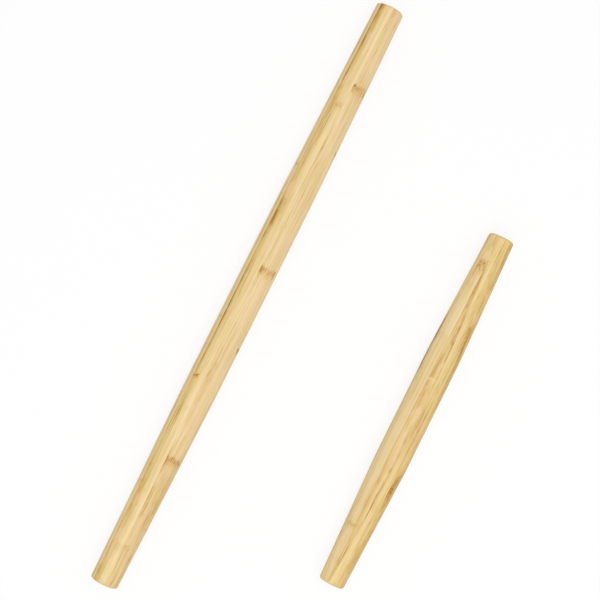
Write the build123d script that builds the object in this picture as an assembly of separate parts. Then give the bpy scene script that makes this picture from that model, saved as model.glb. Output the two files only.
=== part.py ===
from build123d import *
from build123d.topology import SkipClean
from dataclasses import dataclass
import math
import os

# A set of two french rolling pins: plain tapered pins with no handles, one long and one
# short, each turned from a square blank of bamboo strips glued side by side and in layers.
# They lie side by side on a flat surface, long axes along X. The origin is the centre of
# the set's footprint at that surface. Lengths are in millimetres, turns in degrees.

# Sizes that both pins share
barrel_diameter = 27.0
end_edge_radius = 2.0
shoulder_blend = 14.0        # length along X in which the barrel rounds into the taper
strip_thickness = 4.7        # planed thickness of one bamboo strip, so the pitch of the layers
cut_overrun = 3.0            # how far a cutting block reaches past the turned surface

# The long pin
long_length = 500.0
long_barrel_length = 170.0
long_end_diameter = 22.6
long_layer_turn = 42.0       # turn of the layers about the pin's axis, from lying flat
long_stack_offset = 0.45     # glue plane nearest the axis, off the lathe's centre

# The short pin
short_length = 300.0
short_barrel_length = 96.0
short_end_diameter = 20.5
short_layer_turn = -30.5
short_stack_offset = 0.85
short_stack_skew = 1.0       # the blank sat askew in the lathe: this far to the right at +X
short_stack_rise = 0.2       # and this high at +X

# How the two lie
pin_spacing = 158.0          # between the two axes
short_pin_shift = -22.0      # middle of the short pin from the middle of the long one

# Layers from the top of the blank down, and each layer's seam between its two strips, as a
# share of the barrel's radius to the left (+) or right (-) of the axis. None is a layer near
# the surface that is narrow enough for one strip.
layer_names = ("crown", "shoulder", "upper_core", "lower_core", "belly", "sole")
long_seam_shares = (None, 0.22, -0.26, 0.24, -0.20, None)
short_seam_shares = (-0.19, 0.30, -0.24, 0.26, -0.30, 0.20)


@dataclass(frozen=True)
class Pin:
    """Sizes of one pin, and where its middle lies on the surface."""

    name: str
    length: float
    barrel_length: float
    end_diameter: float
    layer_turn: float
    stack_offset: float
    seam_shares: tuple
    middle: tuple
    stack_skew: float = 0
    stack_rise: float = 0


long_pin = Pin(
    name="long",
    length=long_length,
    barrel_length=long_barrel_length,
    end_diameter=long_end_diameter,
    layer_turn=long_layer_turn,
    stack_offset=long_stack_offset,
    seam_shares=long_seam_shares,
    middle=(0, pin_spacing / 2),
)
short_pin = Pin(
    name="short",
    length=short_length,
    barrel_length=short_barrel_length,
    end_diameter=short_end_diameter,
    layer_turn=short_layer_turn,
    stack_offset=short_stack_offset,
    seam_shares=short_seam_shares,
    middle=(short_pin_shift, -pin_spacing / 2),
    stack_skew=short_stack_skew,
    stack_rise=short_stack_rise,
)

barrel_radius = barrel_diameter / 2
block_reach = barrel_radius + cut_overrun


def turned_body(pin):
    """The pin as the lathe leaves it, about the X axis: barrel, two straight tapers, flat ends.

    The profile stands on the XZ plane, so the surface starts along the crest of the crown layer.
    """
    half_length = pin.length / 2
    half_barrel = pin.barrel_length / 2
    end_radius = pin.end_diameter / 2
    outline = Polyline(
        (-half_length, 0),
        (-half_length, end_radius),
        (-half_barrel, barrel_radius),
        (half_barrel, barrel_radius),
        (half_length, end_radius),
        (half_length, 0),
        close=True,
    )
    profile = make_face(Plane.XZ * outline)

    # The shoulder's arc is tangent to barrel and taper, and as long as the blend asks
    taper_angle = math.atan2(abs(barrel_radius - end_radius), half_length - half_barrel)
    shoulder_radius = (shoulder_blend / 2) / math.tan(taper_angle / 2)
    columns = profile.vertices().group_by(Axis.X)
    profile = fillet([*columns[1], *columns[-2]], shoulder_radius)

    columns = profile.vertices().group_by(Axis.X)
    rims = [columns[0].sort_by(Axis.Z)[-1], columns[-1].sort_by(Axis.Z)[-1]]
    profile = fillet(rims, end_edge_radius)
    return revolve(profile, Axis.X)


def layer_levels(pin):
    """Lowest and highest level of each layer, top layer first, before the stack is turned.

    The glue planes are one strip's thickness apart. The top and bottom layers reach past
    the turned surface, which cuts them.
    """
    planes_above = len(layer_names) / 2 - 1
    planes = [
        pin.stack_offset + (planes_above - index) * strip_thickness
        for index in range(len(layer_names) - 1)
    ]
    tops = [block_reach, *planes]
    bottoms = [*planes, -block_reach]
    return list(zip(bottoms, tops))


def strip_block(pin, side_from, side_to, bottom, top):
    """A block as long as the pin, between two sides across it and two levels."""
    block = Box(pin.length + 2 * cut_overrun, side_to - side_from, top - bottom)
    return Pos(0, (side_from + side_to) / 2, (bottom + top) / 2) * block


def layer_blocks(pin, layer, seam_share, bottom, top):
    """The strips of one layer as uncut blocks, by node name."""
    if seam_share is None:
        return {f"{pin.name}_{layer}_strip": strip_block(pin, -block_reach, block_reach, bottom, top)}
    seam = seam_share * barrel_radius
    return {
        f"{pin.name}_{layer}_strip_left": strip_block(pin, seam, block_reach, bottom, top),
        f"{pin.name}_{layer}_strip_right": strip_block(pin, -block_reach, seam, bottom, top),
    }


def pin_strips(pin):
    """Every strip of one pin, turned to shape and laid in its place, by node name."""
    body = turned_body(pin)
    rise_angle = math.degrees(math.atan2(pin.stack_rise, pin.length / 2))
    skew_angle = math.degrees(math.atan2(pin.stack_skew, pin.length / 2))
    blank_lie = Rot(0, -rise_angle, -skew_angle)
    place = Pos(*pin.middle, barrel_radius) * Rot(pin.layer_turn, 0, 0)
    strips = {}
    for layer, seam_share, (bottom, top) in zip(layer_names, pin.seam_shares, layer_levels(pin)):
        for node, block in layer_blocks(pin, layer, seam_share, bottom, top).items():
            # The crest line stays an edge, so that a tongue that thins to nothing has its ridge
            with SkipClean():
                strips[node] = place * (body & (blank_lie * block))
    return strips


os.makedirs("parts", exist_ok=True)
for pin in (long_pin, short_pin):
    for node, strip in pin_strips(pin).items():
        export_step(strip, f"parts/{node}.step")
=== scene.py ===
"""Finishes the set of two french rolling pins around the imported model.

Each bamboo strip is worked out again as a smooth turned piece that replaces its plain solid,
and is dressed in its own cut of bamboo: fibres that run along the stem, a side towards the
skin that is deeper in colour, knuckles where the stem had a joint, and thin glue lines.
Sizes are in millimetres, and turn into metres where a mesh, a pattern or the camera is placed.
"""

from __future__ import annotations

import logging
import math
from dataclasses import dataclass, replace
from enum import Enum
from typing import Union

import bmesh
import bpy
import numpy as np
from mathutils import Matrix, Vector

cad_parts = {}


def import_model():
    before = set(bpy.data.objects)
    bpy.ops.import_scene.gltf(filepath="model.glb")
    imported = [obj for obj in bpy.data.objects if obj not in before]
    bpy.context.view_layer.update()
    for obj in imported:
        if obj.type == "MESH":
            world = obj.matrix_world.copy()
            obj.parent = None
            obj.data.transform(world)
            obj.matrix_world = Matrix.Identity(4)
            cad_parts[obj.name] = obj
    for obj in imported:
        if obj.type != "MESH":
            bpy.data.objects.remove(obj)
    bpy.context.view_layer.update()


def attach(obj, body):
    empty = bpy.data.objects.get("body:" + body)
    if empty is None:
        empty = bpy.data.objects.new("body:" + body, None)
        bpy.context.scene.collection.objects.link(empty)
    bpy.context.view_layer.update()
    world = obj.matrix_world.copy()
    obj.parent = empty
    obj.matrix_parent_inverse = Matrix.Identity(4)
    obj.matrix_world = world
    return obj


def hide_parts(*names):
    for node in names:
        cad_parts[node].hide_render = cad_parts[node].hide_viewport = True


log = logging.getLogger("rolling_pins")

METRES = 0.001  # one millimetre in metres
BARREL_DIAMETER = 27.0  # of both pins

Triple = tuple[float, float, float]
Colour = tuple[float, float, float]
Pair = tuple[float, float]
Node = bpy.types.Node
Socket = bpy.types.NodeSocket
Feed = Union[float, tuple, Socket]


def paint(*levels: int) -> Colour:
    """Turns a colour as it looks on a screen into the linear one that shaders take.

    Args:
        *levels: Red, green and blue from 0 to 255.

    Returns:
        The three linear values from 0 to 1.
    """
    screen = np.array(levels) / 255.0
    high = ((screen + 0.055) / 1.055) ** 2.4
    return tuple(np.where(screen <= 0.04045, screen / 12.92, high).tolist())


def linked(data: bpy.types.ID) -> bpy.types.Object:
    """Puts data into the scene.

    Args:
        data: A mesh, a camera or a lamp.

    Returns:
        Its object, of the same name.
    """
    thing = bpy.data.objects.new(data.name, data)
    bpy.context.scene.collection.objects.link(thing)
    return thing


# Options


class Layer(Enum):
    """A layer of the blank. The value is its number in the stack, from the top down."""

    CROWN = 0
    SHOULDER = 1
    UPPER_CORE = 2
    LOWER_CORE = 3
    BELLY = 4
    SOLE = 5


class Side(Enum):
    """Which strip of a layer it is, looking along +X. The value is the sign of y on its side."""

    LEFT = 1.0
    RIGHT = -1.0
    WHOLE = 0.0


class Across(Enum):
    """The way across the blank that a streak is placed by."""

    LEVEL = "z"
    SIDEWAYS = "y"


class Tone(Enum):
    """How deep a strip's colour is. The value is the material slot of the record."""

    CREAM = "bamboo_cream"
    TAN = "bamboo_tan"
    AMBER = "bamboo_amber"


# Marks of the bamboo


@dataclass(frozen=True)
class Knuckle:
    """A joint of the stem: a dark, broken band across a strip.

    Args:
        at: Place of its sharp edge along the pin, from the pin's middle.
        depth: How dark it is, about 1 for a strong one.
        reach: How far it fades towards -X.
        rims: How much darker it is at the strip's two borders than between them, from 0 to 1.
        pale: How much paler the wood in it is, from 0 to 1.
        sides: The two sides in the blank between which it shows.
    """

    at: float
    depth: float
    reach: float = 3.4
    rims: float = 0.5
    pale: float = 0.0
    sides: Pair = (-30.0, 30.0)


@dataclass(frozen=True)
class Streak:
    """A long soft dark line in the grain. One of them, on the short pin's left shoulder strip, is
    painted shadow along the pin's outline.

    Args:
        at: Middle of the line along the pin, from the pin's middle.
        reach: Half of its length.
        place: Level or side of the line in the blank.
        spread: Half of its thickness.
        depth: How dark it is, from 0 to 1.
        across: Whether its place is a level or a side.
    """

    at: float
    reach: float
    place: float
    spread: float
    depth: float
    across: Across = Across.LEVEL


@dataclass(frozen=True)
class Grain:
    """A layer of noise, drawn out along the stem.

    Args:
        along: Features per millimetre along the stem.
        across: Features per millimetre across it.
        step: Number of its shift, so that no two layers look alike.
        detail: Octaves above the first.
        roughness: How strong each octave is over the one before it.
    """

    along: float
    across: float
    step: float
    detail: float = 2.0
    roughness: float = 0.5


WANDER = Grain(0.011, 0.05, 1, detail=1.0)
BROAD = Grain(0.012, 0.36, 2)
LINES = Grain(0.018, 0.72, 3, detail=1.0, roughness=0.6)
FINE = Grain(0.035, 2.6, 4, roughness=0.55)
BUNDLES = Grain(0.085, 1.5, 5)
SPOTS = Grain(0.03, 0.16, 6)
PATCHES = Grain(0.06, 0.17, 7)
WAVER = Grain(0.05, 0.32, 20)
SPECKS = Grain(0.34, 0.85, 30)
FIBRES = Grain(0.42, 2.6, 30.5)

WANDER_PULL = 1.2  # how far the grain wanders across the stem
SKIN_CURVE = 1.5  # power by which a strip deepens towards the skin
TONE_STOPS = (0.0, 0.32, 0.66, 1.0)  # depths at which a finish's colours are whole

# A ramp is a smooth step: the values at which it starts and ends, then what it goes from and to
TINTS = (  # soft patches: their colours, and the ramps of their noise
    (paint(238, 202, 160), (0.52, 0.70, 0.0, 0.50)),
    (paint(226, 206, 136), (0.45, 0.28, 0.0, 0.45)),
)
FLECK_SIZE = (0.22, 0.20)  # a fleck's reach: what the skin side adds, and what it is at the pith
FLECK_EDGE = 2.0  # how steeply it sets off
FLECK_RISE = 0.3  # how much likelier it is at the skin
FLECK_RAMP = (0.45, 0.75)  # of the chance that it shows
STREAK_WHOLE = 0.35  # share of a streak's reach in which it is whole
STREAK_BREAKS = (1.2, 0.35)  # what is left of it: a pull of the lines, and what is there without them

# Where a noise layer is read, with uneven factors so that no shift comes twice
SHIFT_PER_SEED = 17.3
SHIFT_PER_STEP = 5.1
SHIFT_ACROSS = (1.7, 3.1)  # times the shift along the strip, and added to it
SHIFT_UP = (0.6, 11.7)
WAVER_PULL = 3.0  # how far a knuckle's edge wavers along the pin
AHEAD = 3  # how many times shorter a knuckle fades towards +X than towards -X
HALO_REACH = 1.5  # reach of its halo, over its own
HALO_SHARE = 0.34  # strength of the halo
HALO_RIMS = (0.6, 0.4)  # parts of the halo that follow the rims, and that don't
SIDE_BLUR = 0.5  # how softly it stops at its sides
RIM_RAMP = (0.4, 2.6)  # of the distance from a border
DASH_FRAY = 1.2  # how far the fine grain frays a speck
SPECK_RAMP = (0.62, 0.14, 0.10, 1.0)  # of the distance from a speck's middle
FIBRE_RAMP = (0.75, 0.20, 0.75, 1.6)  # of the distance from a fibre's middle
END_DEPTHS = (1.1, 0.1)  # distances from a flat end where end grain starts and is whole
END_SHARE = 0.5  # how much of its colour it has
END_DOTS = 0.7  # strength of its dots
GLUE_RAMP = (0.22, 0.05)  # of the distance from a glue plane
GLUE_SHARE = 0.12  # how much of its colour a glue line has

KNUCKLE_BROWN = paint(160, 108, 8)
KNUCKLE_ORANGE = paint(216, 160, 64)
GLUE_BROWN = paint(164, 120, 58)
END_GRAIN = paint(204, 166, 104)
GOLD_TINT: Colour = (0.97, 0.92, 0.76)
WHITE = (1.0, 1.0, 1.0, 1.0)


# Finishes of the bamboo


@dataclass(frozen=True)
class BambooFinish:
    """Colours of one tone of bamboo, from the pith side to the darkest fibre, and its contrast.

    Args:
        pith: Palest wood, towards the pith.
        heart: Usual wood.
        skin: Deep wood, towards the skin.
        fibre: Darkest fibre.
        skin_pull: How much deeper the wood gets towards the skin.
        start: Depth on the pith side.
        broad_pull: Contrast of the broad bands.
        line_pull: Contrast of the lines, one to two millimetres apart.
        fine_pull: Contrast of the fine grain.
        spot_pull: Contrast of the soft spots.
        fleck_pull: Depth of the short dark flecks of the fibre bundles.
    """

    pith: Colour
    heart: Colour
    skin: Colour
    fibre: Colour
    skin_pull: float
    start: float = 0.20
    broad_pull: float = 0.46
    line_pull: float = 0.46
    fine_pull: float = 0.42
    spot_pull: float = 0.22
    fleck_pull: float = 0.26

    def colours(self) -> tuple[Colour, ...]:
        """The four colours, palest first."""
        return self.pith, self.heart, self.skin, self.fibre

    def gilded(self, gold: float) -> BambooFinish:
        """The same finish with every colour moved towards gold.

        Args:
            gold: How far, 1 for the whole tint and below 0 for away from it.

        Returns:
            The new finish.
        """
        tinted = (np.array(self.colours()) * np.array(GOLD_TINT) ** gold).tolist()
        names = ("pith", "heart", "skin", "fibre")
        return replace(self, **{name: tuple(colour) for name, colour in zip(names, tinted)})


FINISHES: dict[Tone, BambooFinish] = {
    Tone.CREAM: BambooFinish(
        pith=paint(241, 216, 163),
        heart=paint(235, 208, 151),
        skin=paint(223, 191, 122),
        fibre=paint(176, 128, 46),
        skin_pull=0.16,
    ),
    Tone.TAN: BambooFinish(
        pith=paint(240, 213, 162),
        heart=paint(229, 200, 146),
        skin=paint(215, 180, 111),
        fibre=paint(168, 116, 36),
        skin_pull=0.18,
    ),
    Tone.AMBER: BambooFinish(
        pith=paint(236, 207, 145),
        heart=paint(222, 189, 118),
        skin=paint(205, 166, 78),
        fibre=paint(154, 104, 8),
        skin_pull=0.42,
        line_pull=0.74,
    ),
}


@dataclass(frozen=True)
class OiledWood:
    """Gloss and relief of all strips.

    Args:
        ior: Index of refraction.
        rough: Roughness of the wood, and what fine grain and end grain add to it.
        coat: Weight of the oil, and its roughness.
        relief: Strength of the bump, and its height in metres.
        heights: Shares of fine grain, lines, flecks and glue lines in the bump.
    """

    ior: float = 1.46
    rough: Triple = (0.36, 0.14, 0.12)
    coat: Pair = (0.06, 0.32)
    relief: Pair = (0.35, 0.00012)
    heights: tuple[float, ...] = (0.6, 0.5, -0.35, -0.5)


# Shape of a turned pin


@dataclass(frozen=True)
class TurnedProfile:
    """Outline of a turned pin about its axis: barrel, shoulder arc, straight taper, edge arc.

    Args:
        length: Whole length of the pin.
        barrel_length: Length of the straight middle, to the corners that the shoulders round.
        end_diameter: Diameter at the ends, before their edges are rounded.
        barrel_diameter: Diameter of the middle.
        shoulder_blend: Length along the pin in which barrel and taper round into each other.
        end_edge_radius: Rounding of the edge of each flat end.
    """

    length: float
    barrel_length: float
    end_diameter: float
    barrel_diameter: float = BARREL_DIAMETER
    shoulder_blend: float = 14.0
    end_edge_radius: float = 2.0

    @property
    def barrel_radius(self) -> float:
        """Radius of the barrel."""
        return self.barrel_diameter / 2

    @property
    def taper_angle(self) -> float:
        """Slope of the taper, in radians."""
        drop = (self.barrel_diameter - self.end_diameter) / 2
        return math.atan2(drop, (self.length - self.barrel_length) / 2)

    @property
    def shoulder_radius(self) -> float:
        """Radius of the shoulder's arc."""
        return self.shoulder_blend / 2 / math.tan(self.taper_angle / 2)

    @property
    def edge_tangent(self) -> float:
        """How far the rounding of an end's edge reaches from the sharp corner."""
        return self.end_edge_radius * math.tan((math.pi / 2 - self.taper_angle) / 2)

    def runs(self) -> tuple[float, ...]:
        """Lengths of the four parts of half of the outline, from the middle to the flat end."""
        tangent = self.shoulder_blend / 2
        taper = (self.length - self.barrel_length) / 2 / math.cos(self.taper_angle)
        return (
            self.barrel_length / 2 - tangent,
            self.shoulder_radius * self.taper_angle,
            taper - tangent - self.edge_tangent,
            self.end_edge_radius * (math.pi / 2 - self.taper_angle),
        )

    def at(self, run: np.ndarray) -> tuple[np.ndarray, np.ndarray]:
        """Place and radius of the outline at a run along it.

        On the barrel the place is the run itself. On the shoulder it turns along an arc that
        is tangent to barrel and taper, then it goes straight down the taper, and then along
        the small arc that ends square to the flat end.

        Args:
            run: Lengths along the outline from the middle, negative towards -X.

        Returns:
            Places along the axis and radii there.
        """
        barrel, shoulder, taper, edge = self.runs()
        along = np.minimum(np.abs(run), barrel + shoulder + taper + edge)
        full, arc = self.barrel_radius, self.shoulder_radius
        rim, slope = self.end_edge_radius, self.taper_angle
        turn = (along - barrel) / arc
        slide = along - barrel - shoulder + self.shoulder_blend / 2
        lean = slope + (along - barrel - shoulder - taper) / rim
        parts = [along <= end for end in (barrel, barrel + shoulder, barrel + shoulder + taper)]
        places = (
            along,
            barrel + arc * np.sin(turn),
            self.barrel_length / 2 + slide * math.cos(slope),
        )
        radii = (
            np.full_like(along, full),
            full - arc * (1 - np.cos(turn)),
            full - slide * math.sin(slope),
        )
        place = np.select(parts, places, self.length / 2 - rim + rim * np.sin(lean))
        rim_middle = self.end_diameter / 2 - self.edge_tangent
        return np.copysign(place, run), np.select(parts, radii, rim_middle + rim * np.cos(lean))

    def stations(self, spacing: float = 6.0, arc_steps: int = 9) -> np.ndarray:
        """Runs at which sections are taken, each part's ends among them.

        Args:
            spacing: Largest distance between sections on the straight parts.
            arc_steps: How many steps each arc gets.

        Returns:
            Sorted runs from one flat end to the other.
        """
        runs = self.runs()
        steps = (math.ceil(runs[0] / spacing), arc_steps, math.ceil(runs[2] / spacing), arc_steps)
        ends = np.cumsum((0.0, *runs))
        half = np.concatenate(
            [np.linspace(ends[i], ends[i + 1], steps[i] + 1) for i in range(len(runs))]
        )
        return np.unique(np.round(np.concatenate((-half, half)), 6))


@dataclass(frozen=True)
class Strip:
    """One bamboo strip of a blank.

    Args:
        layer: Its layer.
        side: Left or right strip of the layer, or the whole layer.
        tone: Its tone.
        knuckles: Its knuckles.
        streaks: Its own long streaks, apart from the general grain.
        gold: How much more golden than its tone it is, below 0 for paler.
        deep: How much deeper in colour than its tone it is.
        skin_pull: How much more than its tone it deepens towards the skin.
    """

    layer: Layer
    side: Side
    tone: Tone
    knuckles: tuple[Knuckle, ...]
    streaks: tuple[Streak, ...] = ()
    gold: float = 0.0
    deep: float = 0.0
    skin_pull: float = 0.0

    def node(self, pin: str) -> str:
        """Name of the CAD node that the strip replaces."""
        ending = "" if self.side is Side.WHOLE else f"_{self.side.name.lower()}"
        return f"{pin}_{self.layer.name.lower()}_strip{ending}"


@dataclass(frozen=True)
class Blank:
    """The glued blank that a pin is turned from, and how it sat in the lathe.

    Args:
        seam_shares: Side of each layer's seam over the barrel's radius, None for one strip.
        stack_offset: Level of the glue plane nearest the axis.
        layer_turn: Turn of the layers about the axis from lying flat, in degrees.
        reach: Half length over which skew and rise are measured.
        skew: How far the blank stands to the right at +X.
        rise: How far it stands high at +X.
        strip_thickness: Pitch of the layers.
    """

    seam_shares: tuple[float | None, ...]
    stack_offset: float
    layer_turn: float
    reach: float
    skew: float = 0.0
    rise: float = 0.0
    strip_thickness: float = 4.7

    @property
    def skew_angle(self) -> float:
        """Skew of the blank, in radians."""
        return math.atan2(self.skew, self.reach)

    @property
    def rise_angle(self) -> float:
        """Rise of the blank, in radians."""
        return math.atan2(self.rise, self.reach)

    def seam(self, layer: Layer) -> float | None:
        """Side of a layer's seam from the axis, None for a layer of one strip."""
        share = self.seam_shares[layer.value]
        return None if share is None else share * BARREL_DIAMETER / 2

    def levels(self, layer: Layer) -> Pair:
        """Lowest and highest level of a layer, as if the outer ones were as thick as the rest."""
        top = self.stack_offset + (len(Layer) / 2 - layer.value) * self.strip_thickness
        return top - self.strip_thickness, top

    def turn(self) -> Matrix:
        """Turn that takes the blank's directions to the row frame's."""
        return (
            Matrix.Rotation(math.radians(self.layer_turn), 3, "X")
            @ Matrix.Rotation(-self.rise_angle, 3, "Y")
            @ Matrix.Rotation(-self.skew_angle, 3, "Z")
        )


@dataclass(frozen=True)
class StripShape:
    """Works out the surface of one strip as whole arrays.

    Args:
        profile: The turned outline.
        blank: The blank that the strip belongs to.
        strip: The strip.
        arc_step: Largest angle between points round the pin, in degrees.
        least_arc: Narrowest arc that gets points, in degrees.
        least_gap: Least distance between sections.
        same_run: Runs this near a tip are the tip.
        tip_length: Length at a tip or a vanishing corner that gets closer sections.
        tip_steps: How many sections such a length gets.
        search_steps: Places at which a change of sign is looked for.
        halvings: How often a step that holds one is halved.
    """

    profile: TurnedProfile
    blank: Blank
    strip: Strip
    arc_step: float = 3.0
    least_arc: float = 0.01
    least_gap: float = 0.02
    same_run: float = 1e-6
    tip_length: float = 12.0
    tip_steps: int = 9
    search_steps: int = 4001
    halvings: int = 40

    def bounds(self, place: np.ndarray) -> tuple[np.ndarray, np.ndarray, np.ndarray]:
        """Lower level, upper level and seam of the strip at places along the lathe's axis.

        The blank's planes lean a little against the axis, so each is a straight line along
        the pin: level over cosine plus place times tangent of the lean. The outermost layers
        have no outer plane, and a right strip is mirrored, so that its side is always the
        positive one.

        Args:
            place: Places along the axis.

        Returns:
            Arrays of the lower level, the upper level and the seam.
        """
        bottom, top = self.blank.levels(self.strip.layer)
        beyond = 2 * self.profile.barrel_diameter
        bottom = -beyond if self.strip.layer is Layer.SOLE else bottom
        top = beyond if self.strip.layer is Layer.CROWN else top
        rise, skew = self.blank.rise_angle, self.blank.skew_angle
        lower = bottom / math.cos(rise) + place * math.tan(rise)
        upper = top / math.cos(rise) + place * math.tan(rise)
        seam = self.blank.seam(self.strip.layer)
        if seam is None:
            return lower, upper, np.full_like(place, -beyond)
        middle = (seam - place * math.cos(rise) * math.sin(skew)) / math.cos(skew)
        return lower, upper, middle * self.strip.side.value

    def corner_rooms(self, run: np.ndarray) -> tuple[np.ndarray, ...]:
        """How far each possible corner of the section lies inside the surface.

        A corner at a level and the seam is inside by the radius less its distance from the
        axis, and a plane's middle by the radius less its level.

        Args:
            run: Lengths along the outline.

        Returns:
            First the room of the nearest point of the strip, then those of its corners.
        """
        place, radius = self.profile.at(run)
        lower, upper, seam = self.bounds(place)
        nearest = np.maximum(np.maximum(lower, -upper), 0.0)
        return (
            radius - np.hypot(np.maximum(seam, 0.0), nearest),
            radius - np.abs(lower),
            radius - np.abs(upper),
            radius - np.hypot(seam, lower),
            radius - np.hypot(seam, upper),
        )

    def crossings(self, index: int, low: float, high: float) -> np.ndarray:
        """Runs at which one of the rooms changes sign, by halving the steps that hold one.

        Args:
            index: Which room of corner_rooms.
            low: First run.
            high: Last run.

        Returns:
            The runs, in order.
        """
        grid = np.linspace(low, high, self.search_steps)
        room = self.corner_rooms(grid)[index]
        steps = np.flatnonzero(np.sign(room[:-1]) * np.sign(room[1:]) < 0)
        left, right = grid[steps], grid[steps + 1]
        rising = room[steps] < 0
        for _ in range(self.halvings):
            middle = (left + right) / 2
            inside = self.corner_rooms(middle)[index] > 0
            keep_right = inside == rising
            right = np.where(keep_right, middle, right)
            left = np.where(keep_right, left, middle)
        return (left + right) / 2

    def stations(self) -> np.ndarray:
        """Runs of the strip's sections, from tip to tip, closer where a corner comes or goes."""
        base = self.profile.stations()
        low, high = base[0], base[-1]
        tips = self.crossings(0, low, high)
        middle_room = self.corner_rooms(np.zeros(1))[0][0]
        if len(tips) and middle_room > 0:
            low = max([low, *tips[tips < 0]])
            high = min([high, *tips[tips > 0]])
        events = np.concatenate(
            [self.crossings(index, low, high) for index in range(1, 5)] + [[low], [high]]
        )
        steps = self.tip_length * (np.arange(self.tip_steps + 1) / self.tip_steps) ** 2
        close = (events[:, None] + np.concatenate((-steps, steps))[None, :]).ravel()
        runs = np.concatenate((base, close))
        runs = np.sort(runs[(runs > low + self.same_run) & (runs < high - self.same_run)])
        keep = np.concatenate(([True], np.diff(runs) > self.least_gap))
        return np.concatenate(([low], runs[keep], [high]))

    def half_sections(self, runs: np.ndarray) -> tuple[np.ndarray, ...]:
        """The two sides of every section, as grids of section by step.

        A step is an angle up the surface between the strip's lowest and highest point: the
        level is the radius times its sine, the outer side lies at the radius times its
        cosine, and the inner side at the seam, or at minus that where the seam lies further
        out. The angles are spaced evenly between the heights where the seam meets the
        surface, so that each corner has its own line of points.

        Args:
            runs: The sections.

        Returns:
            Places along the axis, levels, outer sides and inner sides.
        """
        place, radius = self.profile.at(runs)
        lower, upper, seam = self.bounds(place)
        seam_level = np.sqrt(np.maximum(radius**2 - seam**2, 0.0))
        low, high = np.clip(lower, -radius, radius), np.clip(upper, -radius, radius)
        positive = seam > 0
        low = np.where(positive, np.maximum(low, -seam_level), low)
        high = np.where(positive, np.minimum(high, seam_level), high)
        high = np.maximum(high, low)
        from_angle, to_angle, seam_angle = (
            np.arcsin(np.clip(height / radius, -1, 1)) for height in (low, high, seam_level)
        )
        meets = np.where((np.abs(seam) < radius) & ~positive, seam_angle, math.pi / 2)
        breaks = (
            from_angle,
            np.clip(-meets, from_angle, to_angle),
            np.clip(meets, from_angle, to_angle),
            to_angle,
        )
        angles = [from_angle[:, None]]
        for start, end in zip(breaks[:-1], breaks[1:]):
            widest = math.degrees(float(np.max(end - start)))
            count = math.ceil(widest / self.arc_step) if widest > self.least_arc else 0
            share = np.arange(1, count + 1) / max(count, 1)
            angles.append(start[:, None] + (end - start)[:, None] * share[None, :])
        angle = np.concatenate(angles, axis=1)
        level = radius[:, None] * np.sin(angle)
        outer = radius[:, None] * np.cos(angle)
        inner = np.minimum(np.maximum(seam[:, None], -outer), outer)
        return np.broadcast_to(place[:, None], level.shape), level, outer, inner

    def surface(self) -> tuple[np.ndarray, np.ndarray]:
        """Points and four-sided faces of the closed strip, in the lathe's frame.

        Each section is a loop up the outer side and down the inner one. Loops are joined to
        their neighbours, and the first and last are closed by rungs from side to side.

        Returns:
            An array of points and one of faces.
        """
        place, level, outer, inner = self.half_sections(self.stations())
        up_and_down = (
            np.stack((place, outer, level), axis=-1),
            np.stack((place, inner, level), axis=-1)[:, ::-1],
        )
        loops = np.concatenate(up_and_down, axis=1)
        if self.strip.side is Side.RIGHT:
            loops[..., 1] *= -1
        sections, around = loops.shape[:2]
        number = np.arange(sections * around).reshape(sections, around)
        ahead = np.roll(number, -1, axis=1)
        skin = np.stack((number[:-1], ahead[:-1], ahead[1:], number[1:]), axis=-1).reshape(-1, 4)
        half = around // 2
        up, down = number[:, :half], number[:, ::-1][:, :half]
        rungs = [
            np.stack((up[end, :-1], down[end, :-1], down[end, 1:], up[end, 1:]), axis=-1)
            for end in (0, -1)
        ]
        return loops.reshape(-1, 3), np.concatenate((skin, *rungs))


# Materials


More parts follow.
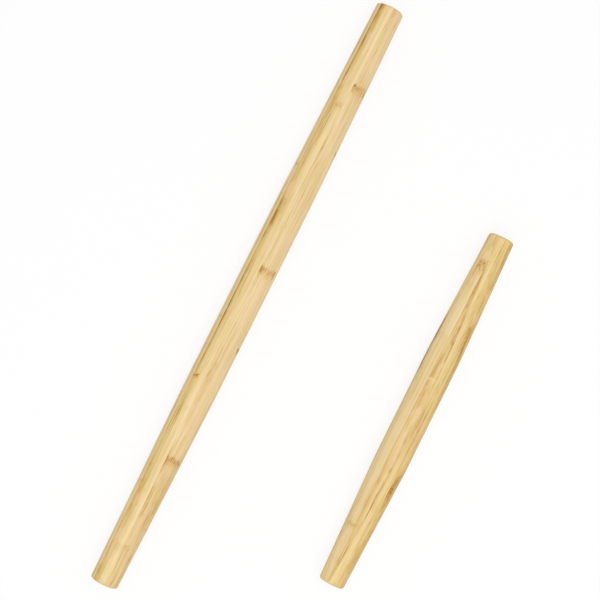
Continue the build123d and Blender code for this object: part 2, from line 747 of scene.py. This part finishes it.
class NodeSheet:
    """A node tree that is written like sums: each method adds a node and returns its output."""

    def __init__(self, holder: Union[bpy.types.Material, bpy.types.World]) -> None:
        """Empties the node tree of a material or a world.

        Args:
            holder: The material or the world.
        """
        self.holder = holder
        holder.use_nodes = True
        self.tree = holder.node_tree
        self.tree.nodes.clear()

    def feed(self, socket: Socket, value: Feed) -> None:
        """Gives an input a value, or links it to another node's output."""
        if isinstance(value, Socket):
            self.tree.links.new(value, socket)
        else:
            socket.default_value = value

    def node(self, kind: str, inputs: dict[Union[int, str], Feed], **settings: object) -> Node:
        """Adds a node.

        Args:
            kind: Its type.
            inputs: What each input gets, a value or another node's output.
            **settings: The node's own settings.

        Returns:
            The node.
        """
        node = self.tree.nodes.new(kind)
        for key, value in settings.items():
            setattr(node, key, value)
        for key, value in inputs.items():
            self.feed(node.inputs[key], value)
        return node

    def calc(self, operation: str, *values: Feed, clamp: bool = False) -> Socket:
        """A sum on numbers, such as ADD or DIVIDE."""
        inputs = dict(enumerate(values))
        return self.node("ShaderNodeMath", inputs, operation=operation, use_clamp=clamp).outputs[0]

    def times(self, first: Feed, second: Feed) -> Socket:
        """One number times another."""
        return self.calc("MULTIPLY", first, second)

    def line(self, value: Feed, factor: Feed, start: Feed) -> Socket:
        """A number times a factor, plus a start."""
        return self.calc("MULTIPLY_ADD", value, factor, start)

    def gap(self, first: Feed, second: Feed) -> Socket:
        """Distance between two numbers."""
        return self.calc("ABSOLUTE", self.calc("SUBTRACT", first, second))

    def swung(self, base: Feed, noise: Feed, pull: float) -> Socket:
        """A number that a noise from 0 to 1 moves up or down by as much as the pull."""
        return self.line(self.calc("SUBTRACT", noise, 0.5), 2.0 * pull, base)

    def point(self, operation: str, *values: Feed) -> Socket:
        """A sum on points, such as ADD."""
        inputs = dict(enumerate(values))
        return self.node("ShaderNodeVectorMath", inputs, operation=operation).outputs[0]

    def cells(self, place: Feed) -> Node:
        """A node that finds the nearest of scattered points, about one to a unit cube."""
        return self.node("ShaderNodeTexVoronoi", {"Vector": place, "Scale": 1.0})

    def ramp(self, value: Feed, start: float, end: float, low: float = 0.0, high: float = 1.0) -> Socket:
        """A smooth step of the value from low at start to high at end."""
        return self.node(
            "ShaderNodeMapRange",
            {"Value": value, "From Min": start, "From Max": end, "To Min": low, "To Max": high},
            interpolation_type="SMOOTHSTEP",
        ).outputs["Result"]

    def hump(self, value: Feed, middle: float = 0.0, reach: float = 1.0) -> Socket:
        """A bell: one at the middle, falling as e to the minus square of the distance over reach."""
        away = self.calc("DIVIDE", self.calc("SUBTRACT", value, middle), reach)
        return self.calc("EXPONENT", self.times(self.times(away, away), -1.0))

    def mix(self, share: Feed, first: Feed, second: Feed) -> Socket:
        """A colour between two others."""
        node = self.node("ShaderNodeMix", {}, data_type="RGBA")
        for number, value in ((0, share), (6, first), (7, second)):
            self.feed(node.inputs[number], (*value, 1.0) if isinstance(value, tuple) else value)
        return node.outputs[2]

    def scale_of_colours(self, value: Feed, colours: tuple[Colour, ...]) -> Socket:
        """A colour read from the scale of a finish's colours.

        Args:
            value: Depth, from 0 to 1.
            colours: The finish's colours, palest first.

        Returns:
            The colour.
        """
        node = self.node("ShaderNodeValToRGB", {0: value})
        elements = node.color_ramp.elements
        while len(elements) < len(colours):
            elements.new(0.5)
        for element, position, colour in zip(elements, TONE_STOPS, colours):
            element.position = position
            element.color = (*colour, 1.0)
        return node.outputs["Color"]


@dataclass
class BambooPattern:
    """Dresses one strip in its own cut of bamboo.

    The point in the blank, the grain, the flecks, the cut ends and the glue lines are worked out
    once. All marks read them.

    Args:
        name: Name of the material.
        finish: The tone's colours.
        blank: The blank, whose frame the pattern lies in.
        strip: The strip.
        length: The pin's length.
        centre: Centre of the pin in the row frame.
        seed: A number of its own, so that no two strips share their grain.
        wood: Gloss and relief.
    """

    name: str
    finish: BambooFinish
    blank: Blank
    strip: Strip
    length: float
    centre: Triple
    seed: float
    wood: OiledWood = OiledWood()

    def __post_init__(self) -> None:
        """Starts the material with what all its marks read."""
        sheet = self.sheet = NodeSheet(bpy.data.materials.new(self.name))
        self.place = self.blank_place()
        parts = sheet.node("ShaderNodeSeparateXYZ", {0: self.place})
        self.along, self.sideways, self.level = parts.outputs
        top = self.blank.levels(self.strip.layer)[1]
        down = sheet.calc("SUBTRACT", top, self.level)
        self.skinward = sheet.calc("DIVIDE", down, self.blank.strip_thickness, clamp=True)

        # The grain wanders a little across the stem
        drift = sheet.swung(0.0, self.noise(self.place, WANDER), WANDER_PULL)
        offset = sheet.node("ShaderNodeCombineXYZ", {0: 0.0, 1: drift, 2: drift})
        self.grained = sheet.point("ADD", self.place, offset.outputs[0])
        self.lines = self.noise(self.grained, LINES)
        self.fine = self.noise(self.grained, FINE)
        self.fleck = self.flecks()
        away = sheet.calc("ABSOLUTE", self.along)
        self.cut = sheet.ramp(away, *(self.length / 2 - depth for depth in END_DEPTHS))
        self.glue = self.glue_lines()

    def blank_place(self) -> Socket:
        """The point in the blank's own frame, in millimetres from the pin's centre."""
        return self.sheet.node(
            "ShaderNodeMapping",
            {
                "Vector": self.sheet.node("ShaderNodeTexCoord", {}).outputs["Object"],
                "Location": tuple(value * METRES for value in self.centre),
                "Rotation": tuple(self.blank.turn().to_euler("XYZ")),
                "Scale": (METRES, METRES, METRES),
            },
            vector_type="TEXTURE",
        ).outputs[0]

    def stretched(self, place: Feed, grain: Grain, number: int = 0) -> Socket:
        """A point in a layer of noise, shifted by an amount that differs for each strip and use.

        Args:
            place: The point in the blank.
            grain: The layer of noise.
            number: Number of the use, where a strip uses the layer more than once.

        Returns:
            The point, stretched along the stem.
        """
        base = self.seed * SHIFT_PER_SEED + (grain.step + number) * SHIFT_PER_STEP
        shift = (base, base * SHIFT_ACROSS[0] + SHIFT_ACROSS[1], base * SHIFT_UP[0] + SHIFT_UP[1])
        scale = (grain.along, grain.across, grain.across)
        return self.sheet.point("MULTIPLY_ADD", place, scale, shift)

    def noise(self, place: Feed, grain: Grain, number: int = 0) -> Socket:
        """Soft noise from 0 to 1."""
        inputs = {
            "Vector": self.stretched(place, grain, number),
            "Scale": 1.0,
            "Detail": grain.detail,
            "Roughness": grain.roughness,
        }
        return self.sheet.node("ShaderNodeTexNoise", inputs).outputs["Fac"]

    def material(self) -> bpy.types.Material:
        """Builds the strip's material: grain, marks, end grain and glue lines.

        Returns:
            The material.
        """
        sheet = self.sheet
        colour = self.grain_colour()
        for number, knuckle in enumerate(self.strip.knuckles):
            colour = self.knuckle(knuckle, number, colour)
        colour = sheet.mix(sheet.times(self.cut, END_SHARE), colour, END_GRAIN)
        dots = sheet.times(self.cut, sheet.times(self.fleck, END_DOTS))
        colour = sheet.mix(dots, colour, self.finish.fibre)
        colour = sheet.mix(sheet.times(self.glue, GLUE_SHARE), colour, GLUE_BROWN)
        self.shade(colour)
        return sheet.holder

    def grain_colour(self) -> Socket:
        """Colour of the plain wood, by a depth from 0 on the pith side to 1 in the darkest fibre.

        Returns:
            The colour, with streaks and soft patches.
        """
        sheet, finish = self.sheet, self.finish
        skin_pull = finish.skin_pull + self.strip.skin_pull
        towards_skin = sheet.calc("POWER", self.skinward, SKIN_CURVE)
        depth = sheet.line(towards_skin, skin_pull, finish.start + self.strip.deep)
        for noise, pull in (
            (self.noise(self.grained, BROAD), finish.broad_pull),
            (self.lines, finish.line_pull),
            (self.fine, finish.fine_pull),
            (self.noise(self.place, SPOTS), finish.spot_pull),
        ):
            depth = sheet.swung(depth, noise, pull)
        depth = sheet.line(self.fleck, finish.fleck_pull, depth)
        for streak in self.strip.streaks:
            depth = sheet.calc("ADD", depth, self.streak(streak))
        depth = sheet.calc("MAXIMUM", depth, 0.0, clamp=True)
        colour = sheet.scale_of_colours(depth, finish.colours())
        patch = self.noise(self.place, PATCHES)
        for tint, ramp in TINTS:
            colour = sheet.mix(sheet.ramp(patch, *ramp), colour, tint)
        return colour

    def flecks(self) -> Socket:
        """Short dark flecks where a fibre bundle reaches the surface, dots on the end grain.

        The bundles are long, thin cells along the stem. About half of them show, and they are
        thicker and denser towards the skin.

        Returns:
            One in the middle of a fleck, falling to 0 around it.
        """
        sheet = self.sheet
        cells = sheet.cells(self.stretched(self.grained, BUNDLES))
        parts = sheet.node("ShaderNodeSeparateColor", {0: cells.outputs["Color"]})
        size = sheet.line(self.skinward, *FLECK_SIZE)
        away = sheet.calc("DIVIDE", cells.outputs["Distance"], size)
        core = sheet.calc("SUBTRACT", 1.0, away, clamp=True)
        core = sheet.calc("MULTIPLY", core, FLECK_EDGE, clamp=True)
        chance = sheet.line(self.skinward, FLECK_RISE, parts.outputs[0])
        return sheet.times(core, sheet.ramp(chance, *FLECK_RAMP))

    def streak(self, streak: Streak) -> Socket:
        """Extra depth of a long streak: a bell across the grain, faded in and out along it.

        Args:
            streak: The streak.

        Returns:
            The extra depth, which the lines break up.
        """
        sheet = self.sheet
        across = self.level if streak.across is Across.LEVEL else self.sideways
        bell = sheet.hump(across, streak.place, streak.spread)
        away = sheet.gap(self.along, streak.at)
        fade = sheet.ramp(away, streak.reach, streak.reach * STREAK_WHOLE, 0.0, streak.depth)
        return sheet.times(sheet.times(bell, fade), sheet.line(self.lines, *STREAK_BREAKS))

    def knuckle(self, knuckle: Knuckle, number: int, colour: Feed) -> Socket:
        """The colour with one knuckle on it.

        The band has a sharp edge that wavers across the strip, and fades from there towards
        -X. It is a row of dashes, darker at the strip's borders, in a soft orange halo.

        Args:
            knuckle: The knuckle.
            number: Its number on the strip.
            colour: The colour so far.

        Returns:
            The colour with the knuckle.
        """
        sheet = self.sheet
        wavering = sheet.swung(self.along, self.noise(self.place, WAVER, number), WAVER_PULL)
        away = sheet.calc("SUBTRACT", wavering, knuckle.at)
        band = sheet.hump(self.lopsided(away, knuckle.reach))
        halo = sheet.hump(self.lopsided(away, knuckle.reach * HALO_REACH))
        first, last = knuckle.sides
        shown = sheet.times(
            sheet.ramp(self.sideways, first - SIDE_BLUR, first + SIDE_BLUR),
            sheet.ramp(self.sideways, last + SIDE_BLUR, last - SIDE_BLUR),
        )
        rims = sheet.times(self.rims(knuckle.rims), shown)
        mark = sheet.times(sheet.times(band, self.dashes(number)), rims)
        with_rims, without = HALO_RIMS
        soft_rims = sheet.line(rims, with_rims, sheet.times(shown, without))
        orange = sheet.times(sheet.times(halo, HALO_SHARE * knuckle.depth), soft_rims)
        colour = sheet.mix(orange, colour, KNUCKLE_ORANGE)
        if knuckle.pale > 0:
            colour = sheet.mix(sheet.times(band, knuckle.pale), colour, self.finish.pith)
        brown = sheet.calc("MULTIPLY", mark, knuckle.depth, clamp=True)
        return sheet.mix(brown, colour, KNUCKLE_BROWN)

    def dashes(self, number: int) -> Socket:
        """Specks about a millimetre across, each broken up into short fibres.

        Args:
            number: Number of the knuckle.

        Returns:
            About one on a fibre of a speck, and near 0 between the specks.
        """
        sheet = self.sheet
        frayed = sheet.point("ADD", self.place, sheet.swung(0.0, self.fine, DASH_FRAY))
        specks, fibres = (
            sheet.cells(self.stretched(frayed, grain, number)).outputs["Distance"]
            for grain in (SPECKS, FIBRES)
        )
        return sheet.times(sheet.ramp(specks, *SPECK_RAMP), sheet.ramp(fibres, *FIBRE_RAMP))

    def lopsided(self, away: Feed, reach: float) -> Socket:
        """A distance over reach towards -X, and over a third of it towards +X."""
        ahead = self.sheet.calc("DIVIDE", away, reach / AHEAD)
        return self.sheet.calc("MAXIMUM", ahead, self.sheet.calc("DIVIDE", away, -reach))

    def rims(self, share: float) -> Socket:
        """One near the strip's lower glue plane and seam, one less share away from them."""
        near = self.sheet.calc("SUBTRACT", self.level, self.blank.levels(self.strip.layer)[0])
        seam = self.blank.seam(self.strip.layer)
        if seam is not None:
            near = self.sheet.calc("MINIMUM", near, self.sheet.gap(self.sideways, seam))
        return self.sheet.ramp(near, *RIM_RAMP, 1.0, 1.0 - share)

    def glue_lines(self) -> Socket:
        """One on the strip's borders with its neighbours, gone within a quarter of a millimetre."""
        bottom, top = self.blank.levels(self.strip.layer)
        planes = (
            (self.level, None if self.strip.layer is Layer.SOLE else bottom),
            (self.level, None if self.strip.layer is Layer.CROWN else top),
            (self.sideways, self.blank.seam(self.strip.layer)),
        )
        near: Feed = 1.0
        for across, plane in planes:
            if plane is not None:
                near = self.sheet.calc("MINIMUM", near, self.sheet.gap(across, plane))
        return self.sheet.ramp(near, *GLUE_RAMP)

    def shade(self, colour: Feed) -> None:
        """Gives the material its shader.

        Args:
            colour: Its colour.
        """
        sheet = self.sheet
        plain, fine_rough, end_rough = self.wood.rough
        rough = sheet.line(self.fine, fine_rough, plain)
        fine_height, line_height, fleck_height, glue_height = self.wood.heights
        strength, most = self.wood.relief
        coat, coat_rough = self.wood.coat
        height = sheet.line(self.fine, fine_height, sheet.times(self.lines, line_height))
        height = sheet.line(self.fleck, fleck_height, height)
        height = sheet.line(self.glue, glue_height, height)
        bump = {"Strength": strength, "Distance": most, "Height": height}
        inputs = {
            "Base Color": colour,
            "Roughness": sheet.line(self.cut, end_rough, rough),
            "Normal": sheet.node("ShaderNodeBump", bump).outputs[0],
            "IOR": self.wood.ior,
            "Coat Weight": coat,
            "Coat Roughness": coat_rough,
        }
        shader = sheet.node("ShaderNodeBsdfPrincipled", inputs)
        sheet.node("ShaderNodeOutputMaterial", {0: shader.outputs[0]})


# The two pins


@dataclass(frozen=True)
class BambooPin:
    """A turned pin of glued bamboo strips.

    Args:
        name: First word of its nodes' names.
        body: The CAD body that it rides on.
        profile: Its turned outline.
        blank: Its blank.
        middle: Middle of the pin on the floor, in x and y.
        seed: Number that its grain starts from.
        strips: Its strips.
        merge: Distance within which points are one, in metres.
        thin: Length under which an edge is dissolved, in metres.
        sharp: Angle from which an edge is sharp, in degrees.
    """

    name: str
    body: str
    profile: TurnedProfile
    blank: Blank
    middle: Pair
    seed: float
    strips: tuple[Strip, ...]
    merge: float = 1.0e-6
    thin: float = 1.0e-7
    sharp: float = 24.0

    @property
    def centre(self) -> Triple:
        """Centre of the pin in the row frame."""
        return (*self.middle, self.profile.barrel_radius)

    def build(self) -> None:
        """Builds and dresses every strip."""
        for number, strip in enumerate(self.strips):
            self.dress(self.build_strip(strip), strip, self.seed + number)

    def build_strip(self, strip: Strip) -> bpy.types.Object:
        """Makes one strip's mesh and object, in the row frame.

        The points are turned about the pin's axis by the layers' turn and moved to its
        centre. Points that fall together at a tip or along a crest are merged.

        Args:
            strip: The strip.

        Returns:
            The object, at the origin.
        """
        points, faces = StripShape(self.profile, self.blank, strip).surface()
        turn = np.array(Matrix.Rotation(math.radians(self.blank.layer_turn), 3, "X"))
        placed = (points @ turn.T + np.array(self.centre)) * METRES
        mesh = bpy.data.meshes.new(f"{strip.node(self.name)}_wood")
        mesh.from_pydata(placed.tolist(), [], faces.tolist())
        self.clean(mesh)
        return linked(mesh)

    def clean(self, mesh: bpy.types.Mesh) -> None:
        """Merges doubles, turns faces outwards, and makes round surfaces smooth, edges sharp."""
        work = bmesh.new()
        work.from_mesh(mesh)
        bmesh.ops.remove_doubles(work, verts=work.verts, dist=self.merge)
        bmesh.ops.dissolve_degenerate(work, dist=self.thin, edges=work.edges)
        bmesh.ops.recalc_face_normals(work, faces=work.faces)
        work.to_mesh(mesh)
        work.free()
        mesh.shade_smooth()
        mesh.set_sharp_from_angle(angle=math.radians(self.sharp))

    def dress(self, piece: bpy.types.Object, strip: Strip, seed: float) -> None:
        """Gives a strip its material and body, and lets it stand for its CAD node.

        Args:
            piece: The strip's object.
            strip: The strip.
            seed: Number of its grain.
        """
        node = strip.node(self.name)
        pattern = BambooPattern(
            name=f"{node}_bamboo",
            finish=FINISHES[strip.tone].gilded(strip.gold),
            blank=self.blank,
            strip=strip,
            length=self.profile.length,
            centre=self.centre,
            seed=seed,
        )
        piece.data.materials.append(pattern.material())
        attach(piece, self.body)
        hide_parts(node)
        counts = len(piece.data.vertices), len(piece.data.polygons)
        log.info("%s: %d points, %d faces, %s", piece.name, *counts, strip.tone.name)


def knuckles(*marks: tuple[float, ...]) -> tuple[Knuckle, ...]:
    """Knuckles that are given by their places, depths, reaches and rims."""
    return tuple(Knuckle(*mark) for mark in marks)


LONG_STRIPS = (
    Strip(
        Layer.CROWN, Side.WHOLE, Tone.TAN,
        (
            Knuckle(181.4, 1.7, 4.0, 0.72),
            Knuckle(23.2, 2.4, 4.2, 0.82, sides=(-4.9, 30.0)),
            Knuckle(23.2, 1.5, 4.2, 0.0, sides=(-4.9, -3.2)),
            Knuckle(-140.8, 1.4, 4.4, 0.2, sides=(-4.6, 30.0)),
            Knuckle(128.4, 1.4, 2.6, 0.0, sides=(-30.0, -5.6)),
            Knuckle(-42.4, 2.4, 2.6, 0.0, sides=(-30.0, -5.0)),
            Knuckle(-198.0, 2.0, 2.6, 0.0, sides=(-30.0, -5.2)),
            Knuckle(-216.0, 0.4, 5.0, 0.0, sides=(1.5, 30.0)),
        ),
        (
            Streak(-162.0, 46.0, 10.3, 1.5, 0.34),
            Streak(115.0, 34.0, 10.1, 0.5, 0.26),
            Streak(-200.0, 66.0, 11.8, 2.2, 0.17),
        ),
    ),
    Strip(
        Layer.SHOULDER, Side.LEFT, Tone.CREAM,
        knuckles(
            (164.0, 0.64, 3.6, 0.2),
            (31.0, 0.12, 2.0, 0.2),
            (-216.0, 0.36, 5.0, 0.2),
            (-98.0, 0.10, 2.0, 0.2),
        ),
        (Streak(144.0, 20.0, 5.35, 0.28, 0.55),),
        deep=0.07,
    ),
    Strip(Layer.SHOULDER, Side.RIGHT, Tone.AMBER, knuckles((128.0, 0.7), (-43.0, 0.8), (-199.0, 0.8))),
    Strip(
        Layer.UPPER_CORE, Side.LEFT, Tone.AMBER,
        knuckles((75.0, 0.3, 12.0, 0.1), (-73.2, 2.1, 1.8, 0.1)),
        (
            Streak(69.0, 19.0, 2.6, 1.9, 0.25),
            Streak(212.0, 60.0, 1.5, 1.2, 0.40),
            Streak(-82.0, 34.0, 1.5, 1.2, 0.36),
            Streak(4.0, 82.0, 1.2, 0.8, 0.36),
        ),
    ),
    Strip(Layer.UPPER_CORE, Side.RIGHT, Tone.TAN, knuckles((198.0, 0.7), (41.0, 0.6), (-119.0, 0.8))),
    Strip(
        Layer.LOWER_CORE, Side.LEFT, Tone.TAN,
        knuckles((108.5, 0.8, 1.8, 0.2), (-24.0, 0.5), (-165.0, 0.6)),
        gold=0.6, deep=-0.12, skin_pull=0.46,
    ),
    Strip(Layer.LOWER_CORE, Side.RIGHT, Tone.CREAM, knuckles((149.0, 0.6), (-12.0, 0.5), (-171.0, 0.6))),
    Strip(Layer.BELLY, Side.LEFT, Tone.CREAM, knuckles((92.0, 0.5), (-68.0, 0.6), (-229.0, 0.5))),
    Strip(Layer.BELLY, Side.RIGHT, Tone.TAN, knuckles((176.0, 0.6), (18.0, 0.7), (-143.0, 0.5))),
    Strip(Layer.SOLE, Side.WHOLE, Tone.TAN, knuckles((217.0, 0.6), (58.0, 0.8), (-102.0, 0.7))),
)

SHORT_STRIPS = (
    Strip(
        Layer.CROWN, Side.LEFT, Tone.CREAM,
        knuckles((125.4, 1.1, 7.4, 0.4), (61.0, 0.15), (-9.0, 0.12), (-100.0, 0.62, 3.0)),
        gold=-0.35, deep=0.11,
    ),
    Strip(
        Layer.CROWN, Side.RIGHT, Tone.TAN,
        (
            Knuckle(27.0, 0.6, 3.0, 0.9, pale=0.85),
            Knuckle(-61.0, 0.15, 3.0),
            Knuckle(-100.0, 0.25, 2.4),
        ),
        (
            Streak(-10.0, 130.0, -2.8, 0.25, 0.42, Across.SIDEWAYS),
            Streak(88.0, 48.0, 10.8, 0.9, 0.40),
            Streak(58.0, 44.0, 12.0, 2.4, 0.12),
            Streak(-85.0, 76.0, 10.5, 0.35, 0.34),
            Streak(5.0, 70.0, -3.8, 0.16, 0.28, Across.SIDEWAYS),
            Streak(-12.0, 62.0, -4.8, 0.16, 0.26, Across.SIDEWAYS),
            Streak(8.0, 58.0, -5.7, 0.16, 0.24, Across.SIDEWAYS),
        ),
        gold=0.9, deep=0.10,
    ),
    Strip(
        Layer.SHOULDER, Side.LEFT, Tone.AMBER,
        knuckles((-110.0, 0.5)),
        # Painted shadow: this streak darkens the strip along the pin's outline and stands in for a thin
        # shadow line there.
        (Streak(52.0, 31.0, 8.6, 2.2, 1.0),),
    ),
    Strip(
        Layer.SHOULDER, Side.RIGHT, Tone.CREAM,
        knuckles((-10.0, 0.18, 3.0), (20.0, 0.15, 2.0)),
        (Streak(-7.0, 20.0, 5.75, 0.35, 0.34),),
        gold=0.4, deep=0.22,
    ),
    Strip(Layer.UPPER_CORE, Side.LEFT, Tone.CREAM, knuckles((96.0, 0.6), (-55.0, 0.6))),
    Strip(
        Layer.UPPER_CORE, Side.RIGHT, Tone.AMBER,
        knuckles((72.0, 0.8, 15.0, 0.0), (-58.5, 0.72, 17.0, 0.0), (-64.0, 3.2, 4.8, 0.0)),
        (Streak(64.0, 19.0, 2.8, 1.9, 0.62), Streak(-67.0, 20.0, 2.8, 1.9, 0.72)),
        gold=0.5, deep=-0.02,
    ),
    Strip(Layer.LOWER_CORE, Side.LEFT, Tone.TAN, knuckles((35.0, 0.6), (-118.0, 0.6))),
    Strip(
        Layer.LOWER_CORE, Side.RIGHT, Tone.CREAM,
        knuckles((88.0, 0.5), (-66.0, 0.4)),
        gold=0.7, deep=0.5,
    ),
    Strip(Layer.BELLY, Side.LEFT, Tone.AMBER, knuckles((12.0, 0.7), (-138.0, 0.6))),
    Strip(Layer.BELLY, Side.RIGHT, Tone.TAN, knuckles((71.0, 0.7), (-84.0, 0.7))),
    Strip(Layer.SOLE, Side.LEFT, Tone.CREAM, knuckles((110.0, 0.6), (-40.0, 0.6))),
    Strip(Layer.SOLE, Side.RIGHT, Tone.TAN, knuckles((38.0, 0.8), (-112.0, 0.6))),
)


PINS = (
    BambooPin(
        name="long",
        body="long_pin",
        profile=TurnedProfile(length=500.0, barrel_length=170.0, end_diameter=22.6),
        blank=Blank(
            seam_shares=(None, 0.22, -0.26, 0.24, -0.20, None),
            stack_offset=0.45,
            layer_turn=42.0,
            reach=250.0,
        ),
        middle=(0.0, 79.0),
        seed=1.0,
        strips=LONG_STRIPS,
    ),
    BambooPin(
        name="short",
        body="short_pin",
        profile=TurnedProfile(length=300.0, barrel_length=96.0, end_diameter=20.5),
        blank=Blank(
            seam_shares=(-0.19, 0.30, -0.24, 0.26, -0.30, 0.20),
            stack_offset=0.85,
            layer_turn=-30.5,
            reach=150.0,
            skew=1.0,
            rise=0.2,
        ),
        middle=(-22.0, -79.0),
        seed=31.0,
        strips=SHORT_STRIPS,
    ),
)


# Studio


@dataclass(frozen=True)
class PhotoCamera:
    """The camera at the photograph's place.

    Args:
        place: Where it stands, in millimetres.
        aim: The point in the middle of the picture.
        roll: Its turn about the line of sight, in radians.
        focal: Focal length in pixels of a picture this many pixels wide.
        picture: The picture's width in pixels.
        sensor: Width of the sensor in millimetres.
        sees: Nearest and furthest distance that it sees, in metres.
    """

    place: Triple = (-21.33, 38.35, 1244.0)
    aim: Triple = (14.15, 40.66, 13.5)
    roll: float = 0.4628
    focal: float = 1578.6
    picture: float = 600.0
    sensor: float = 36.0
    sees: Pair = (0.05, 20.0)

    def build(self) -> None:
        """Makes the camera.

        Its sight runs from place to aim. Right is the sight crossed with +X, up is right
        crossed with the sight, and both are then turned by the roll.
        """
        sight = np.subtract(self.aim, self.place)
        sight = sight / np.linalg.norm(sight)
        flat_right = np.cross(sight, (1.0, 0.0, 0.0))
        flat_right = flat_right / np.linalg.norm(flat_right)
        flat_up = np.cross(flat_right, sight)
        right = math.cos(self.roll) * flat_right + math.sin(self.roll) * flat_up
        up = -math.sin(self.roll) * flat_right + math.cos(self.roll) * flat_up
        data = bpy.data.cameras.new("photo_camera")
        data.sensor_width = self.sensor
        data.lens = self.focal * self.sensor / self.picture
        data.clip_start, data.clip_end = self.sees
        camera = linked(data)
        turn = Matrix(np.stack((right, up, -sight), axis=1).tolist())
        camera.matrix_world = Matrix.Translation(Vector(self.place) * METRES) @ turn.to_4x4()
        bpy.context.scene.camera = camera


@dataclass(frozen=True)
class Studio:
    """White floor, even sky, and a square soft box that faces the middle of the set.

    Args:
        floor_side: Side of the floor, in metres.
        floor_drop: How far the floor lies below the pins, in metres.
        floor_colour: Its colour.
        floor_rough: Its roughness.
        glow: How much of what the camera sees of the floor is plain white.
        sky: Strength of the sky.
        box_place: Where the soft box hangs, in metres.
        box_side: Its side, in metres.
        box_power: Its power in watts.
    """

    floor_side: float = 8.0
    floor_drop: float = 0.0001
    floor_colour: Colour = (0.98, 0.98, 0.98)
    floor_rough: float = 0.9
    glow: float = 0.8
    sky: float = 0.585
    box_place: Triple = (-0.18, -0.15, 1.6)
    box_side: float = 1.4
    box_power: float = 13.7

    def build(self) -> None:
        """Lays the floor, lights the sky and hangs the soft box."""
        half = self.floor_side / 2
        turns = ((-1, -1), (1, -1), (1, 1), (-1, 1))
        corners = [(x * half, y * half, -self.floor_drop) for x, y in turns]
        mesh = bpy.data.meshes.new("studio_floor")
        mesh.from_pydata(corners, [], [(0, 1, 2, 3)])
        self.paint_floor(mesh)
        floor = linked(mesh)
        self.light_sky()
        self.hang_box()

    def paint_floor(self, mesh: bpy.types.Mesh) -> None:
        """Gives the floor a white that glows a little for the camera, and takes shadows.

        Args:
            mesh: The floor's mesh.
        """
        sheet = NodeSheet(bpy.data.materials.new("studio_white"))
        colour = (*self.floor_colour, 1.0)
        inputs = {"Base Color": colour, "Roughness": self.floor_rough}
        plain = sheet.node("ShaderNodeBsdfPrincipled", inputs)
        mixed = self.seen_white(sheet, plain, "ShaderNodeEmission", self.glow)
        sheet.node("ShaderNodeOutputMaterial", {0: mixed})
        mesh.materials.append(sheet.holder)

    def light_sky(self) -> None:
        """Lights the world evenly, and shows it as plain white."""
        world = bpy.data.worlds.new("studio_sky")
        bpy.context.scene.world = world
        sheet = NodeSheet(world)
        light = sheet.node("ShaderNodeBackground", {"Color": WHITE, "Strength": self.sky})
        mixed = self.seen_white(sheet, light, "ShaderNodeBackground", 1.0)
        sheet.node("ShaderNodeOutputWorld", {0: mixed})

    @staticmethod
    def seen_white(sheet: NodeSheet, lit: Node, kind: str, share: float) -> Socket:
        """Mixes plain white into what the camera and reflections see of a shader.

        Args:
            sheet: The nodes.
            lit: The shader, which all other rays meet alone.
            kind: Type of the node that gives the white.
            share: How much of what is seen is white.

        Returns:
            The mixed shader.
        """
        path = sheet.node("ShaderNodeLightPath", {}).outputs
        seen = sheet.calc("MAXIMUM", path["Is Camera Ray"], path["Is Glossy Ray"])
        seen = sheet.calc("MAXIMUM", seen, path["Is Transmission Ray"])
        white = sheet.node(kind, {"Color": WHITE, "Strength": 1.0})
        inputs = {0: sheet.times(seen, share), 1: lit.outputs[0], 2: white.outputs[0]}
        return sheet.node("ShaderNodeMixShader", inputs).outputs[0]

    def hang_box(self) -> None:
        """Hangs the soft box and points it."""
        data = bpy.data.lights.new("overhead_box", "AREA")
        data.shape = "SQUARE"
        data.size = self.box_side
        data.energy = self.box_power
        box = linked(data)
        box.location = self.box_place
        box.rotation_euler = (-Vector(self.box_place)).to_track_quat("-Z", "Y").to_euler()


def main() -> None:
    """Loads the frame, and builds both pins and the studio."""
    logging.basicConfig(level=logging.INFO, format="%(name)s: %(message)s")
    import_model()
    bpy.context.scene.view_settings.view_transform = "Standard"
    for pin in PINS:
        pin.build()
        log.info("%s pin: %d strips", pin.name, len(pin.strips))
    Studio().build()
    PhotoCamera().build()


if __name__ == "__main__":
    main()
